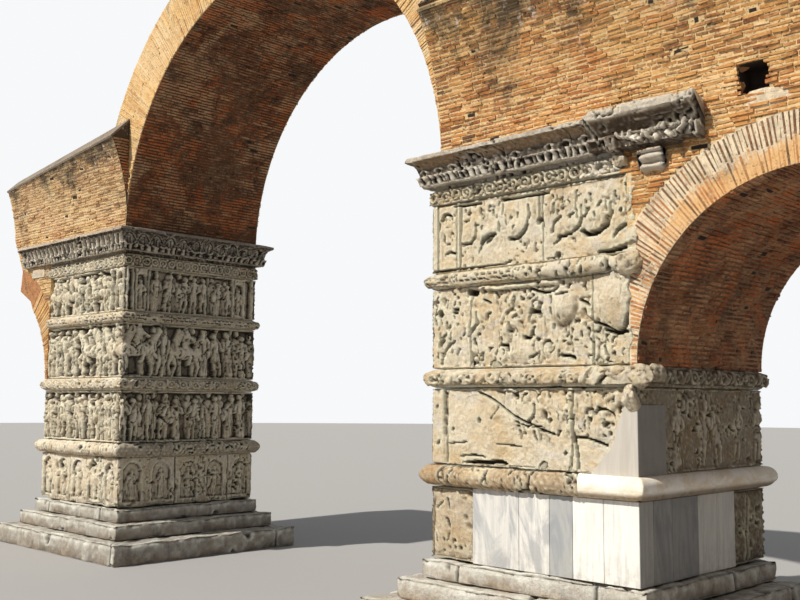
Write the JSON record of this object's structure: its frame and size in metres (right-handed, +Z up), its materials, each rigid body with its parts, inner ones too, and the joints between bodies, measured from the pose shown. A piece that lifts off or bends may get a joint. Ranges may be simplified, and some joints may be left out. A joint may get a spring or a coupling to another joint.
{
  "type": "triumphal arch",
  "caption": "Ruined triumphal arch: carved marble piers on steps carry a brick arch, with a lower side arch and the stubs of lost vaults.",
  "frame": {"origin": "on the ground, under the centre of the whole arch", "axes": "+X along the row of piers, from the broken stub to the outer pier; +Y from the front, where the vault springing leans out, to the back; +Z up"},
  "size_m": [27.1674, 5.04, 13.6503],
  "materials": {
    "carved_marble": "weathered carved marble",
    "weathered_marble": "grey weathered marble",
    "new_marble": "sawn marble",
    "step_stone": "worn grey stone",
    "rubble_core": "rubble and mortar",
    "ring_brick": "thin brick set on edge in mortar",
    "wall_brick": "thin brick in thick mortar beds",
    "coping_mortar": "lime mortar"
  },
  "bodies": {
    "root": {"left_band_lower": "carved_marble", "left_band_middle": "carved_marble", "left_base_torus": "carved_marble", "left_coping": "coping_mortar", "left_core": "rubble_core", "left_cornice": "weathered_marble", "left_frieze": "carved_marble", "left_haunch_wall": "wall_brick", "left_plinth": "carved_marble", "left_relief_lower": "carved_marble", "left_relief_middle": "carved_marble", "left_relief_upper": "carved_marble", "left_side_arch_stub": "ring_brick", "left_springer": "wall_brick", "left_step_lower": "step_stone", "left_step_middle": "step_stone", "left_step_upper": "step_stone", "left_stub_wall": "wall_brick", "main_arch_ring": "ring_brick", "outer_pier_brick": "wall_brick", "outer_pier_footing": "step_stone", "outer_pier_stone": "step_stone", "right_band_lower": "carved_marble", "right_band_middle": "carved_marble", "right_base_torus": "new_marble", "right_bracket_block": "weathered_marble", "right_coping": "coping_mortar", "right_core": "rubble_core", "right_cornice": "weathered_marble", "right_cornice_block": "weathered_marble", "right_frieze": "carved_marble", "right_haunch_wall": "wall_brick", "right_plinth_new_slabs": "new_marble", "right_plinth_old_blocks": "carved_marble", "right_relief_lower": "carved_marble", "right_relief_middle": "carved_marble", "right_relief_patch": "new_marble", "right_relief_upper": "carved_marble", "right_springer": "wall_brick", "right_step_lower": "step_stone", "right_step_middle": "step_stone", "right_step_upper": "step_stone", "side_arch_ring": "ring_brick", "side_arch_wall": "wall_brick"}
  },
  "joints": []
}
